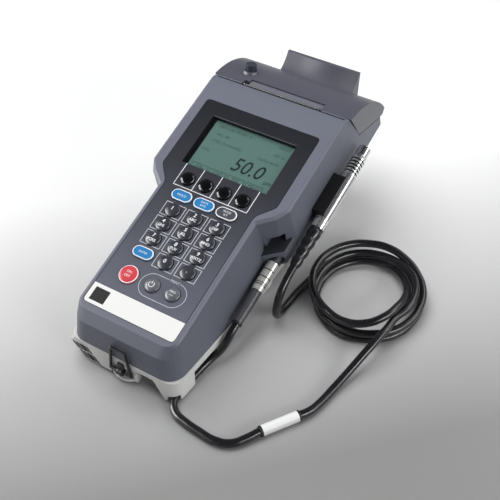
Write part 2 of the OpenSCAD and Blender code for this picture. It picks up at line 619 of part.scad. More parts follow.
// Strap ring
module strap_ring() place() color(dark) translate([0, lug_y, lug_z]) {
    rotate([0, 90, 0]) cylinder(d = wire_d, h = ring_foot_w, center = true);
    translate([0, 0, ring_h]) rotate([0, 90, 0]) cylinder(d = wire_d, h = ring_top_w, center = true);
    for (s = [-1, 1]) {
        translate([s * ring_foot_w / 2, 0, 0]) rotate([0, s * atan2((ring_top_w - ring_foot_w) / 2, ring_h), 0])
            cylinder(d = wire_d, h = norm([(ring_top_w - ring_foot_w) / 2, ring_h]));
        translate([s * ring_foot_w / 2, 0, 0]) sphere(d = wire_d);
        translate([s * ring_top_w / 2, 0, ring_h]) sphere(d = wire_d);
    }
}

// Probe
module probe_socket() place() color(silver) {
    along_slope(plug_x, plug_y[1] + 0.1, -plug_depth) cylinder(d = plug_d - 1.2, h = socket_wall - plug_y[1] - 0.1);
    along_slope(plug_x, socket_wall - 2, -plug_depth) cylinder(d = plug_d + 0.6, h = 1.9);
    along_slope(plug_x, socket_wall - 0.2, -plug_depth) cylinder(d = plug_d - 2, h = wall + 4);
}
module probe_plug() place() color(silver) along_slope(plug_x, plug_y[0], -plug_depth) difference() {
    cylinder(d = plug_d, h = plug_y[1] - plug_y[0]);
    for (h = [4, 5.6, 10, 16]) translate([0, 0, h]) rotate_extrude() translate([plug_d / 2 - 0.4, 0]) square([2, 0.7]);
}
module plug_boot() place() color(dark) along_slope(plug_x, plug_boot_end, -plug_depth)
    cylinder(d1 = cable_d + 1.6, d2 = plug_d - 1, h = plug_y[0] - plug_boot_end);
module probe_holder() place() color(dark) difference() {
    on_panel() translate([head_base_w / 2 + 0.05, clip_y[0], -probe_depth - barrel_d / 2 - clip_lip])
        cube([probe_x - head_base_w / 2 + 2, clip_y[1] - clip_y[0], barrel_d + 2 * clip_lip]);
    along_slope(probe_x, clip_y[0] - 1, -probe_depth) cylinder(d = barrel_d + 2 * run_gap, h = far);
    on_panel() translate([probe_x, clip_y[0] - 1, -probe_depth - barrel_d / 2 + 0.4]) cube([20, far, barrel_d - 0.8]);
}
module probe_body() place() color([0.45, 0.45, 0.47]) {
    along_slope(probe_x, barrel_y[0], -probe_depth) difference() {
        union() {
            cylinder(d = barrel_d, h = barrel_y[1] - barrel_y[0]);
            translate([0, 0, barrel_y[1] - barrel_y[0]]) cylinder(d = tip_d + 0.8, h = ridge_end - barrel_y[1]);
        }
        for (i = [0 : 4]) translate([0, 0, barrel_y[1] - barrel_y[0] + 2 + i * 2.8]) rotate_extrude()
            translate([tip_d / 2 - 0.4, 0]) square([2, 1.1]);
        translate([0, 0, ridge_end - barrel_y[0] - 12]) cylinder(r = stem_r + run_gap, h = 20);
    }
    along_slope(probe_x, boot_y[1], -probe_depth) cylinder(d = barrel_d - 0.6, h = barrel_y[0] - boot_y[1]);
}
module probe_tip() place() color(silver) {
    along_slope(probe_x, ridge_end + 2.4, -probe_depth) cylinder(d = tip_d, h = tip_end - ridge_end - 3.4);
    along_slope(probe_x, tip_end - 1, -probe_depth) cylinder(d1 = tip_d, d2 = tip_d - 2, h = 1);
    along_slope(probe_x, ridge_end - 8, -probe_depth) cylinder(r = stem_r, h = 12);
}
module probe_boot() place() color(dark) along_slope(probe_x, boot_y[0], -probe_depth)
    cylinder(d1 = cable_d + 1.4, d2 = barrel_d - 1.2, h = boot_y[1] - boot_y[0]);

// Cable
function side_dir(t) = unit(cross(t, abs(t[2]) > 0.9 ? [0, 1, 0] : [0, 0, 1]));
function ring_at(pts, i, r, n) = let(
        a = pts[max(i - 1, 0)], b = pts[min(i + 1, len(pts) - 1)], t = unit(b - a), s = side_dir(t), u = cross(s, t))
    [for (k = [0 : n - 1]) pts[i] + r * (cos(360 * k / n) * s + sin(360 * k / n) * u)];
module tube(pts, d) {
    n = cable_sides;
    m = len(pts);
    polyhedron([for (i = [0 : m - 1]) each ring_at(pts, i, d / 2, n)],
        concat([[for (k = [n - 1 : -1 : 0]) k]],
            [for (i = [0 : m - 2], k = [0 : n - 1])
                [i * n + k, i * n + (k + 1) % n, (i + 1) * n + (k + 1) % n, (i + 1) * n + k]],
            [[for (k = [0 : n - 1]) (m - 1) * n + k]]));
}
lead_start = panel_point(plug_x, plug_boot_end, -plug_depth);
tail_start = panel_point(probe_x, boot_y[0], -probe_depth);
module cable_lead() place() color(dark) tube(concat([lead_start], lead_route), cable_d);
module cable_tail() place() color(dark) tube(concat([tail_start], tail_route), cable_d);
module cable_coil() place() color(dark) translate([coil_c[0], coil_c[1], 0]) rotate_extrude()
    translate([coil_r - coil_w, 0]) square([coil_w, coil_h]);
module cable_tag() place() color("white") difference() {
    tube(tag_ends, tag_d);
    tube([tag_ends[0] - (tag_ends[1] - tag_ends[0]), tag_ends[1] + (tag_ends[1] - tag_ends[0])], cable_d + 0.1);
}

upper_case();
lower_case();
panel_overlay();
label_plate();
lcd_window();
lcd_module();
key_sheet();
main_board();
print_head();
tear_bar();
paper_roll();
battery_lid();
battery_cells();
rubber_feet();
case_screws();
front_pad();
hinge_pin();
printer_cover();
release_button();
platen_roller();
strap_ring();
for (i = [0 : 3]) soft_key(i);
for (i = [0 : 2]) mode_key(i);
for (i = [0 : 10]) number_key(i);
blue_key();
red_key();
printer_key(0);  // printer_power_key
printer_key(1);  // printer_feed_key
probe_socket();
probe_holder();
probe_body();
probe_tip();
probe_boot();
probe_plug();
plug_boot();
cable_lead();
cable_coil();
cable_tail();
cable_tag();
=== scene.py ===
import math

import bmesh
import bpy
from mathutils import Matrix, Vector


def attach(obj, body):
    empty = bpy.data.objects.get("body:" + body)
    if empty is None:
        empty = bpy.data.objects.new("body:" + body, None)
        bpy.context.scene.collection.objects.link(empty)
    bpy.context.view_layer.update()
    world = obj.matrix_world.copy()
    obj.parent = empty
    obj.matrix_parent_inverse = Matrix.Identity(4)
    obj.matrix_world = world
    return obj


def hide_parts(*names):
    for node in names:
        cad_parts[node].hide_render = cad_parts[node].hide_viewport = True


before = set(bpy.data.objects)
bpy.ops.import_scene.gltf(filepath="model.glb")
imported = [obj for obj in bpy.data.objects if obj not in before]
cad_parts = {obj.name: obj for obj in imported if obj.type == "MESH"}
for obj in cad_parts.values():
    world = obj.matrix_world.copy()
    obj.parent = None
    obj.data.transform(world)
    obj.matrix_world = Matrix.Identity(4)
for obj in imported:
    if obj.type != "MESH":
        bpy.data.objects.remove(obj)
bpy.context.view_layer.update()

# Frames: case millimetres to the row frame, and the sloped panel
MM = 0.001
MID_X, MID_Y = -6.625, -132.95
TILT = math.radians(17)
RISE = 43.8
COS, SIN = math.cos(TILT), math.sin(TILT)
CABLE_D = 5.5


def row(x, y, z):
    return Vector(((x + MID_X) * MM, (y + MID_Y) * MM, z * MM))


def panel(u, w, n):
    return row(u, w * COS - n * SIN, RISE + w * SIN + n * COS)


def srgb(r, g, b):
    def lin(c):
        c /= 255
        return c / 12.92 if c <= 0.04045 else ((c + 0.055) / 1.055) ** 2.4
    return (lin(r), lin(g), lin(b))


# Camera
scene = bpy.context.scene
scene.view_settings.view_transform = "Standard"
camera_data = bpy.data.cameras.new("camera")
camera_data.lens = 65.83
camera_data.sensor_width = 36
camera = bpy.data.objects.new("camera", camera_data)
scene.collection.objects.link(camera)
EYE = Vector((0.2528, -0.40295, 0.4781))
AIM = Vector((0.0385, -0.04835, 0.0698))
camera.location = EYE
camera.rotation_euler = (AIM - EYE).to_track_quat("-Z", "Y").to_euler()
scene.camera = camera


# Materials. A mix node has these sockets when it mixes colours
MIX_SHARE, MIX_A, MIX_B, MIX_OUT = 0, 6, 7, 2
# Share of open sky at which the painted shade of a recess is full, and at which it ends
SKY_SHUT, SKY_OPEN = 0.25, 0.75


def mix_colour(tree, a, b):
    """Node that mixes two fixed colours."""
    node = tree.nodes.new("ShaderNodeMix")
    node.data_type = "RGBA"
    node.inputs[MIX_A].default_value = (*a, 1)
    node.inputs[MIX_B].default_value = (*b, 1)
    return node


def times(tree, a, b):
    """Product of two colour sockets."""
    node = tree.nodes.new("ShaderNodeMix")
    node.data_type = "RGBA"
    node.blend_type = "MULTIPLY"
    node.inputs[MIX_SHARE].default_value = 1
    tree.links.new(a, node.inputs[MIX_A])
    tree.links.new(b, node.inputs[MIX_B])
    return node.outputs[MIX_OUT]


def zone_tint(tree, place, zones, stepped):
    """Tint that changes with the distance up the sloped panel."""
    reach = tree.nodes.new("ShaderNodeVectorMath")
    reach.operation = "DOT_PRODUCT"
    reach.inputs[1].default_value = (0, COS, SIN)
    tree.links.new(place, reach.inputs[0])
    start = (MID_Y * COS + RISE * SIN) * MM
    span = tree.nodes.new("ShaderNodeMapRange")
    span.inputs["From Min"].default_value = start + zones[0][0] * MM
    span.inputs["From Max"].default_value = start + zones[-1][0] * MM
    tree.links.new(reach.outputs["Value"], span.inputs["Value"])
    ramp = tree.nodes.new("ShaderNodeValToRGB")
    ramp.color_ramp.interpolation = "CONSTANT" if stepped else "LINEAR"
    stops = ramp.color_ramp.elements
    while len(stops) < len(zones):
        stops.new(0.5)
    for stop, (w, tint) in zip(stops, zones):
        stop.position = (w - zones[0][0]) / (zones[-1][0] - zones[0][0])
        stop.color = (tint, tint, tint, 1)
    tree.links.new(span.outputs["Result"], ramp.inputs["Fac"])
    return ramp.outputs["Color"]


def groove_shade(starts, width, tint):
    """Zones of painted shade in each turned groove of a part, along the panel's slope."""
    return [zone for w in starts for zone in ((w, tint), (w + width, 1))]


def painted_corner_shade(tree, strength, reach=14):
    """Painted shade: a darker tint in recesses narrower than reach millimetres."""
    open_sky = tree.nodes.new("ShaderNodeAmbientOcclusion")
    open_sky.samples = 8
    open_sky.inputs["Distance"].default_value = reach * MM
    level = tree.nodes.new("ShaderNodeMapRange")
    level.inputs["From Min"].default_value = SKY_SHUT
    level.inputs["From Max"].default_value = SKY_OPEN
    level.inputs["To Min"].default_value = 1 - strength
    tree.links.new(open_sky.outputs["AO"], level.inputs["Value"])
    return level.outputs["Result"]


def surface(name, base, rough=0.5, metal=0.0, spec=0.5, vary=0.06, blotch=40.0, grain=1800.0, bump=0.12,
            rough_vary=0.06, coat=0.0, coat_rough=0.08, round_edge=0.0, stretch=(1, 1, 1), alpha=1.0, depth=0.06,
            corner_shade=0.0, zones=(), stepped=False):
    """Procedural surface: blotchy colour, fine grain in bump and roughness, optional softened edges.

    Deep corners get painted shade; zones are (distance up the panel in millimetres, tint) pairs, which also paint the
    film's sheen and the shade in turned groove rings.
    """
    mat = bpy.data.materials.new(name)
    mat.use_nodes = True
    tree = mat.node_tree
    bsdf = tree.nodes["Principled BSDF"]
    coord = tree.nodes.new("ShaderNodeTexCoord")
    mapping = tree.nodes.new("ShaderNodeMapping")
    mapping.inputs["Scale"].default_value = stretch
    tree.links.new(coord.outputs["Object"], mapping.inputs["Vector"])
    fine = tree.nodes.new("ShaderNodeTexNoise")
    fine.inputs["Scale"].default_value = grain
    fine.inputs["Detail"].default_value = 3
    tree.links.new(mapping.outputs["Vector"], fine.inputs["Vector"])
    broad = tree.nodes.new("ShaderNodeTexNoise")
    broad.inputs["Scale"].default_value = blotch
    broad.inputs["Detail"].default_value = 4
    tree.links.new(mapping.outputs["Vector"], broad.inputs["Vector"])
    colour = mix_colour(tree, [c * (1 - vary) for c in base], [min(1, c * (1 + vary)) for c in base])
    tree.links.new(broad.outputs["Fac"], colour.inputs[MIX_SHARE])
    shown = colour.outputs[MIX_OUT]
    if zones:
        shown = times(tree, shown, zone_tint(tree, coord.outputs["Object"], zones, stepped))
    if corner_shade:
        shown = times(tree, shown, painted_corner_shade(tree, corner_shade))
    tree.links.new(shown, bsdf.inputs["Base Color"])
    spread = tree.nodes.new("ShaderNodeMapRange")
    spread.inputs["To Min"].default_value = max(0.02, rough - rough_vary)
    spread.inputs["To Max"].default_value = min(1, rough + rough_vary)
    tree.links.new(fine.outputs["Fac"], spread.inputs["Value"])
    tree.links.new(spread.outputs["Result"], bsdf.inputs["Roughness"])
    relief = tree.nodes.new("ShaderNodeBump")
    relief.inputs["Strength"].default_value = bump
    relief.inputs["Distance"].default_value = depth * MM
    tree.links.new(fine.outputs["Fac"], relief.inputs["Height"])
    if round_edge:
        edge = tree.nodes.new("ShaderNodeBevel")
        edge.samples = 6
        edge.inputs["Radius"].default_value = round_edge * MM
        tree.links.new(edge.outputs["Normal"], relief.inputs["Normal"])
    tree.links.new(relief.outputs["Normal"], bsdf.inputs["Normal"])
    bsdf.inputs["Metallic"].default_value = metal
    bsdf.inputs["Specular IOR Level"].default_value = spec
    bsdf.inputs["Coat Weight"].default_value = coat
    bsdf.inputs["Coat Roughness"].default_value = coat_rough
    bsdf.inputs["Alpha"].default_value = alpha
    return mat


CASE_GREY = srgb(103, 106, 119)
# Zones up the panel: the film's sheen is painted, lighter at its low end and darker toward the display, and the
# turned groove rings get painted shade
FILM_SHEEN_ZONES = [(25, 0.75), (50, 0.62), (85, 0.38), (130, 0.18), (178, 0.1)]
PROBE_GROOVE_SHADE = groove_shade([188 + 2.8 * i for i in range(5)], 1.1, 0.06)
PLUG_GROOVE_SHADE = groove_shade([83, 84.6, 89, 95], 0.7, 0.15)

# Case and base get painted shade in their deep corners and recesses.
CASE = surface("case_plastic", CASE_GREY, rough=0.5, spec=0.4, grain=2400, bump=0.2, round_edge=0.9, corner_shade=0.6)
BASE = surface("base_plastic", srgb(226, 226, 224), rough=0.45, spec=0.4, grain=2400, bump=0.2, round_edge=0.6,
               corner_shade=0.3)
SEAM = surface("seam_plastic", CASE_GREY, rough=0.5, spec=0.4, grain=2400, bump=0.2)
COVER = surface("cover_plastic", srgb(80, 81, 92), rough=0.4, spec=0.5, grain=2400, bump=0.2, round_edge=0.4)
BUTTON = surface("button_plastic", srgb(52, 56, 68), rough=0.45, spec=0.4, grain=2200, bump=0.15, round_edge=0.4)
# The overlay film carries a painted sheen that fades up the panel.
FILM = surface("overlay_film", srgb(104, 107, 122), rough=0.36, spec=0.5, zones=FILM_SHEEN_ZONES, grain=2600, bump=0.12,
               vary=0.04)
WHITE_FILM = surface("label_film", srgb(238, 238, 236), rough=0.45, spec=0.4, grain=900, bump=0.05, vary=0.015)
LENS = surface("lens", srgb(40, 44, 42), rough=0.06, spec=0.2, rough_vary=0.02, bump=0.02, alpha=0.05)
BEZEL = surface("black_plastic", srgb(14, 14, 16), rough=0.6, spec=0.25, grain=2000, bump=0.15)
SHEET = surface("switch_film", srgb(120, 120, 122), rough=0.5)
BOARD = surface("solder_resist", srgb(30, 105, 62), rough=0.35, vary=0.15, blotch=260, coat=0.3)
CHASSIS = surface("moulded_black", srgb(52, 54, 58), rough=0.55, grain=1600, bump=0.25)
STEEL = surface("bright_steel", srgb(222, 222, 225), rough=0.24, metal=1, grain=1200, bump=0.1, stretch=(0.1, 1, 1))
PAPER = surface("thermal_paper", srgb(240, 240, 234), rough=0.8, grain=1400, bump=0.2, vary=0.02)
CELL = surface("cell_sleeve", srgb(70, 72, 80), rough=0.35, vary=0.1, coat=0.3)
PAD = surface("pad_plastic", srgb(220, 220, 219), rough=0.5, spec=0.4, grain=2000, bump=0.2)
RUBBER = surface("moulded_rubber", srgb(44, 44, 46), rough=0.75, spec=0.3, grain=1500, bump=0.4, vary=0.12)
WIRE = surface("black_wire", srgb(16, 16, 18), rough=0.3, grain=1500, bump=0.1, vary=0.15)
GLOSS = surface("gloss_black", srgb(12, 12, 14), rough=0.1, spec=0.5, rough_vary=0.02, grain=700, bump=0.02)
BLUE = surface("blue_plastic", srgb(4, 122, 186), rough=0.3, grain=1500, bump=0.05, vary=0.05, round_edge=0.25)
GREY_KEY = surface("grey_plastic", srgb(74, 76, 84), rough=0.22, grain=1500, bump=0.05, round_edge=0.25)
DARK_KEY = surface("dark_key", srgb(46, 48, 56), rough=0.34, spec=0.7, grain=1500, bump=0.05, rough_vary=0.04)
PRINTER_KEY = surface("printer_key", srgb(96, 97, 104), rough=0.34, spec=0.6, grain=1500, bump=0.05)
RED = surface("red_plastic", srgb(214, 56, 68), rough=0.3, grain=1500, bump=0.05, vary=0.05)
CHROME = surface("bright_plating", srgb(225, 225, 228), rough=0.14, metal=1, grain=1500, bump=0.05, rough_vary=0.05)
HOLDER = surface("holder_plastic", srgb(20, 20, 22), rough=0.45, spec=0.3, grain=2000, bump=0.2, round_edge=0.5)
# Dark rings at the barrel's turned groove places are painted shade.
BARREL = surface("turned_grey", srgb(238, 238, 240), rough=0.2, metal=0.9, grain=2600, bump=0.08, stepped=True,
                 zones=[(130, 1), (146.2, 0.7), (186.2, 1)] + PROBE_GROOVE_SHADE + [(215, 1)])
# Dark rings at the plug's knurl groove places are painted shade.
PLUG = surface("nickel", srgb(232, 230, 224), rough=0.26, metal=0.6, grain=2200, bump=0.06, stepped=True,
               zones=[(70, 1)] + PLUG_GROOVE_SHADE + [(110, 1)])
PROBE_BOOT = surface("probe_boot_rubber", srgb(28, 28, 31), rough=0.26, spec=0.6, grain=1600, bump=0.15, vary=0.1)
# Painted shade for the connector bay's recess.
BAY_SHADE = surface("bay_painted_shade", srgb(44, 45, 50), rough=0.6, spec=0.3, grain=2000, bump=0.2)
FIN = surface("fin_plastic", srgb(82, 83, 94), rough=0.58, spec=0.5, grain=2400, bump=0.15)
BOOT = surface("boot_rubber", srgb(74, 74, 79), rough=0.34, spec=0.5, grain=1600, bump=0.25, vary=0.1)
JACKET = surface("cable_jacket", srgb(22, 22, 25), rough=0.26, spec=0.6, grain=1300, bump=0.12, vary=0.1)
SLEEVE = surface("white_sleeve", srgb(236, 236, 236), rough=0.4, grain=700, bump=0.08, vary=0.03)
BLACK_BAND = surface("black_band", srgb(20, 20, 22), rough=0.45, grain=900, bump=0.1)
PRINT_WHITE = surface("white_ink", srgb(236, 237, 240), rough=0.5, grain=1500, bump=0.06, vary=0.03)
# Painted highlight along the window's top edge.
EDGE_HIGHLIGHT = surface("lens_edge_highlight", srgb(120, 124, 132), rough=0.4, grain=1500, bump=0.06, vary=0.04)
SLOT_GREY = surface("slot_plastic", srgb(102, 104, 114), rough=0.5, grain=2200, bump=0.15, vary=0.04)
PRINT_GREY = surface("grey_ink", srgb(204, 206, 212), rough=0.5, grain=1500, bump=0.06, vary=0.04)
LCD = surface("liquid_crystal", srgb(91, 125, 117), rough=0.35, spec=0.3, grain=2600, bump=0.03, vary=0.05, blotch=25)
LCD_INK = surface("crystal_ink", srgb(24, 40, 42), rough=0.45, spec=0.3, vary=0.06)
LCD_SOFT = surface("crystal_ink_soft", srgb(44, 66, 63), rough=0.45, spec=0.3, vary=0.1, blotch=300)

BY_NODE = {
    "upper_case": CASE, "lower_case": BASE, "battery_lid": BASE, "panel_overlay": FILM, "label_plate": WHITE_FILM,
    "lcd_window": LENS, "lcd_module": BEZEL, "key_sheet": SHEET, "main_board": BOARD, "print_head": CHASSIS,
    "tear_bar": STEEL, "case_screws": STEEL, "hinge_pin": STEEL, "paper_roll": PAPER, "battery_cells": CELL,
    "rubber_feet": RUBBER, "front_pad": PAD, "platen_roller": RUBBER, "printer_cover": COVER,
    "release_button": BUTTON, "strap_ring": WIRE, "blue_key": BLUE, "mode_key_1": BLUE, "mode_key_2": BLUE,
    "mode_key_3": GREY_KEY, "printer_power_key": PRINTER_KEY, "printer_feed_key": PRINTER_KEY, "red_key": RED,
    "probe_socket": CHASSIS, "probe_plug": PLUG, "probe_tip": CHROME, "probe_holder": HOLDER, "probe_body": BARREL,
    "probe_boot": BOOT, "plug_boot": BOOT, "cable_lead": JACKET, "cable_coil": JACKET, "cable_tail": JACKET,
    "cable_tag": SLEEVE}
for name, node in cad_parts.items():
    finish = BY_NODE.get(name, GLOSS if name.startswith("soft_key") else DARK_KEY)
    node.data.materials.clear()
    node.data.materials.append(finish)


# Pieces
def piece(name, build, mat, body, smooth=False):
    """Object from what was built, with the faces of a closed mesh turned outward."""
    mesh = bpy.data.meshes.new(name)
    mesh.from_pydata([tuple(v) for v in build.verts], [], build.faces)
    mesh.validate()
    shape = bmesh.new()
    shape.from_mesh(mesh)
    if all(len(edge.link_faces) == 2 for edge in shape.edges):
        bmesh.ops.recalc_face_normals(shape, faces=shape.faces)
    shape.to_mesh(mesh)
    shape.free()
    mesh.materials.append(mat)
    for poly in mesh.polygons:
        poly.use_smooth = smooth
    obj = bpy.data.objects.new(name, mesh)
    scene.collection.objects.link(obj)
    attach(obj, body)
    return obj


class Build:
    """Collects several shapes into one piece."""

    def __init__(self):
        self.verts, self.faces = [], []

    def add(self, verts, faces):
        k = len(self.verts)
        self.verts += list(verts)
        self.faces += [[i + k for i in f] for f in faces]

    def loop_strip(self, rings, closed=True, caps=False):
        """Quads between rings of equal length."""
        n = len(rings[0])
        faces = []
        for j in range(len(rings) - 1):
            for i in range(n if closed else n - 1):
                a, b = j * n + i, j * n + (i + 1) % n
                faces.append([a, b, b + n, a + n])
        if caps:
            faces.append(list(range(n))[::-1])
            faces.append([(len(rings) - 1) * n + i for i in range(n)])
        self.add([v for ring in rings for v in ring], faces)


def corners(x, y, inset=0.0):
    """Corners of a rectangle, from its two spans, pulled in by inset."""
    (x0, x1), (y0, y1) = x, y
    return [(x0 + inset, y0 + inset), (x1 - inset, y0 + inset), (x1 - inset, y1 - inset), (x0 + inset, y1 - inset)]


# Cable: route given in case millimetres, lead, coil and tail on one line
LEAD = [
    (49.2, 60.4, 24.1), (49, 55, 21.4), (48.2, 50.5, 16.8), (46.2, 46, 11.4), (43.2, 40.5, 7.4), (40.8, 33, 4.8),
    (39.4, 24, 3.4), (38.6, 14, 2.9), (38.5, 6, 2.9), (40.5, -1, 2.9), (45.5, -6, 2.9), (54, -8.5, 2.9),
    (66, -10, 2.9), (78, -10.5, 2.9), (87, -7, 2.9), (93.5, 1, 3.3), (98, 9, 3.7), (105.5, 20.5, 3.7),
    (113, 32, 3.7), (117, 39, 3.4), (119.4, 48, 3.1), (121.3, 59.5, 3.5), (124.4, 75.5, 6.2), (127.2, 88, 9.8),
    (129.6, 98, 13), (131.4, 107.5, 14.6), (132.6, 116.5, 14.8)]
TAIL = [
    (63, 142, 2.9), (61.6, 132.5, 2.9), (60.6, 122, 2.9), (60.2, 111, 3), (60.6, 102, 4.2), (61.6, 95, 7.5),
    (62.4, 90.6, 12.4), (63, 89, 18), (63.2, 90, 24), (63.2, 93, 29.6), (63.1, 98, 34.4), (63, 104.4, 37.8),
    (63, 111.9, 40.4)]
COIL_C = (104.3, 145)
# Turn angle, radius and height of the loose turns
COIL = [
    (-40, 34.6, 14.3), (-20, 33.2, 14.8), (0, 32.7, 15), (25, 33, 14.9), (50, 33.6, 14.3), (70, 33.9, 13),
    (90, 35.2, 11.4), (135, 36, 10.6), (180, 35, 10), (225, 37.5, 9.2), (270, 39.4, 8.6), (315, 38.8, 8.5),
    (360, 37.9, 8.5), (405, 39.2, 10.6), (430, 39.8, 13.4), (450, 39.5, 16.6), (495, 39, 17.6), (540, 38.2, 18),
    (585, 38.6, 17), (630, 39.2, 15.8), (650, 38, 17.2), (670, 35, 19.8), (685, 32, 20.2), (700, 29.2, 19),
    (720, 27.4, 16.4), (740, 27.2, 13.4), (765, 28.2, 10.4), (810, 32.3, 6.6), (855, 32.8, 5.2), (900, 33, 4.5),
    (945, 36, 3.5), (990, 39.4, 2.9), (1035, 38.6, 2.85), (1080, 37.4, 2.85), (1125, 38.4, 2.85),
    (1170, 39.4, 2.85), (1215, 40.2, 2.85), (1250, 41.6, 2.85)]
COIL_FROM, COIL_TO, COIL_STEP = -32, 1250, 22.1


def coil_point(turn):
    """Point of the loose turns in case millimetres, by turn angle in degrees."""
    k = max(i for i in range(len(COIL) - 1) if COIL[i][0] <= turn or i == 0)
    a, b = COIL[k], COIL[k + 1]
    f = (turn - a[0]) / (b[0] - a[0])
    f = (f + f * f * (3 - 2 * f)) / 2
    r, z = a[1] + (b[1] - a[1]) * f, a[2] + (b[2] - a[2]) * f
    t = math.radians(turn)
    return (COIL_C[0] + r * math.cos(t), COIL_C[1] + r * math.sin(t), z)


steps = int((COIL_TO - COIL_FROM) / COIL_STEP) + 1
route = [row(*p) for p in LEAD + [coil_point(COIL_FROM + COIL_STEP * i) for i in range(steps)] + TAIL]
cable_line = bpy.data.curves.new("probe_cable", "CURVE")
cable_line.dimensions = "3D"
cable_line.bevel_depth = CABLE_D / 2 * MM
cable_line.bevel_resolution = 5
cable_line.resolution_u = 8
cable_line.use_fill_caps = True
spline = cable_line.splines.new("BEZIER")
spline.bezier_points.add(len(route) - 1)
for point, place in zip(spline.bezier_points, route):
    point.co = place
    point.handle_left_type = point.handle_right_type = "AUTO"
cable_line.materials.append(JACKET)
cable = bpy.data.objects.new("probe_cable", cable_line)
scene.collection.objects.link(cable)
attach(cable, "case")
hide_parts("cable_lead", "cable_coil", "cable_tail")


def lathe(build, start, end, profile, sides=40):
    """Turned shape between two points: profile gives place along the axis, 0 to 1, and radius in millimetres."""
    axis = end - start
    turn = axis.to_track_quat("Z", "Y").to_matrix()
    rings = []
    for f, r in profile:
        rings.append([start + axis * f + turn @ Vector((r * MM * math.cos(a), r * MM * math.sin(a), 0))
                      for a in (2 * math.pi * i / sides for i in range(sides))])
    build.loop_strip(rings, caps=True)


TAG_FROM, TAG_TO = row(98, 9, 3.7), row(113, 32, 3.7)
TAG_WALL = 0.8
TAG_R = CABLE_D / 2 + TAG_WALL
sleeve_build = Build()
lathe(sleeve_build, TAG_FROM, TAG_TO, [
    (0, 2.78), (0, TAG_R - 0.25), (0.01, TAG_R - 0.05), (0.03, TAG_R), (0.3, TAG_R - 0.04), (0.6, TAG_R - 0.02),
    (0.97, TAG_R), (0.99, TAG_R - 0.05), (1, TAG_R - 0.25), (1, 2.78)])
sleeve = piece("tag_sleeve", sleeve_build, SLEEVE, "case", True)
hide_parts("cable_tag")
band_build = Build()
for f0, f1 in ((-0.01, 0.045), (0.955, 1.01)):
    span = TAG_TO - TAG_FROM
    lathe(band_build, TAG_FROM + span * f0, TAG_FROM + span * f1, [
        (0, 2.8), (0, TAG_R), (0.15, TAG_R + 0.12), (0.85, TAG_R + 0.12), (1, TAG_R), (1, 2.8)])
bands = piece("tag_bands", band_build, BLACK_BAND, "case", True)


# Moulded boot of the probe with finger ridges, and the collar of the plug's boot
PROBE_U, PROBE_N = 63, -36
BOOT_W, BOOT_R, BOOT_GROWS, BOOT_BOW = (106, 138), 2.95, 1.35, 0.8
BOOT_STEPS, RIDGE_COUNT, RIDGE = 72, 4, 0.8
build = Build()
boot_profile = [(0, 2.9)]
for i in range(BOOT_STEPS + 1):
    t = i / BOOT_STEPS
    swell = RIDGE * abs(math.sin(math.pi * RIDGE_COUNT * t))
    boot_profile.append((t, BOOT_R + BOOT_GROWS * t ** BOOT_BOW + swell))
boot_profile.append((1, 3))
lathe(build, panel(PROBE_U, BOOT_W[0], PROBE_N), panel(PROBE_U, BOOT_W[1], PROBE_N), boot_profile)
grip_boot = piece("probe_boot_ridges", build, PROBE_BOOT, "case", True)
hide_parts("probe_boot")
PLUG_U, PLUG_N, COLLAR_W = 49.2, -36.5, (52.2, 53.4)
build = Build()
lathe(build, panel(PLUG_U, COLLAR_W[0], PLUG_N), panel(PLUG_U, COLLAR_W[1], PLUG_N), [
    (0, 3.4), (0, 3.62), (0.2, 3.78), (0.8, 3.8), (1, 3.64), (1, 3.4)])
piece("plug_boot_collar", build, BLACK_BAND, "case", True)


# Printed lines and lettering
def bar(build, a, b, width, low, high, place):
    """Straight raised line from a to b."""
    d = Vector((b[0] - a[0], b[1] - a[1]))
    side = Vector((-d.y, d.x)).normalized() * width / 2
    ends = [(a[0] + side.x, a[1] + side.y), (a[0] - side.x, a[1] - side.y), (b[0] - side.x, b[1] - side.y),
            (b[0] + side.x, b[1] + side.y)]
    build.loop_strip([[place(x, y, low) for x, y in ends], [place(x, y, high) for x, y in ends]], caps=True)


def stadium(length, width, cx=0.0, cy=0.0, steps=14):
    """Outline with two round ends."""
    r, half = width / 2, (length - width) / 2
    pts = []
    for s, a0 in ((1, -90), (-1, 90)):
        for i in range(steps + 1):
            a = math.radians(a0 + 180 * i / steps)
            pts.append((cx + s * half + r * math.cos(a), cy + r * math.sin(a)))
    return pts


def text_shape(words, size, slant=0.0, stretch=1.0, weight=0.0):
    """Triangles of a line of lettering centred on the origin, in millimetres."""
    line = bpy.data.curves.new("line", "FONT")
    line.body = words
    line.size = size
    line.align_x = "CENTER"
    line.align_y = "CENTER"
    line.shear = slant
    line.offset = weight
    line.resolution_u = 3
    holder = bpy.data.objects.new("line", line)
    scene.collection.objects.link(holder)
    view = bpy.context.evaluated_depsgraph_get()
    view.update()
    shaped = holder.evaluated_get(view)
    mesh = shaped.to_mesh()
    verts = [(v.co.x * stretch, v.co.y) for v in mesh.vertices]
    faces = [list(p.vertices) for p in mesh.polygons]
    shaped.to_mesh_clear()
    bpy.data.objects.remove(holder)
    bpy.data.curves.remove(line)
    return verts, faces


def finer(verts, faces, limit):
    """Triangles split until no edge is longer than limit, so that they follow a curved surface."""
    verts, kept = list(verts), []
    todo = [[f[0], f[i], f[i + 1]] for f in faces for i in range(1, len(f) - 1)]
    while todo:
        f = todo.pop()
        sides = [math.dist(verts[f[i]], verts[f[(i + 1) % 3]]) for i in range(3)]
        i = sides.index(max(sides))
        if sides[i] <= limit:
            kept.append(f)
            continue
        a, b, c = f[i], f[(i + 1) % 3], f[(i + 2) % 3]
        verts.append(tuple((p + q) / 2 for p, q in zip(verts[a], verts[b])))
        todo += [[a, len(verts) - 1, c], [len(verts) - 1, b, c]]
    return verts, kept


def letter(build, words, size, cx, cy, place, slant=0.0, stretch=1.0, weight=0.0, limit=0.0):
    """Adds a line of lettering, centred on cx, cy and laid down by place."""
    verts, faces = text_shape(words, size, slant, stretch, weight)
    if limit:
        verts, faces = finer(verts, faces, limit)
    build.add([place(x + cx, y + cy) for x, y in verts], faces)


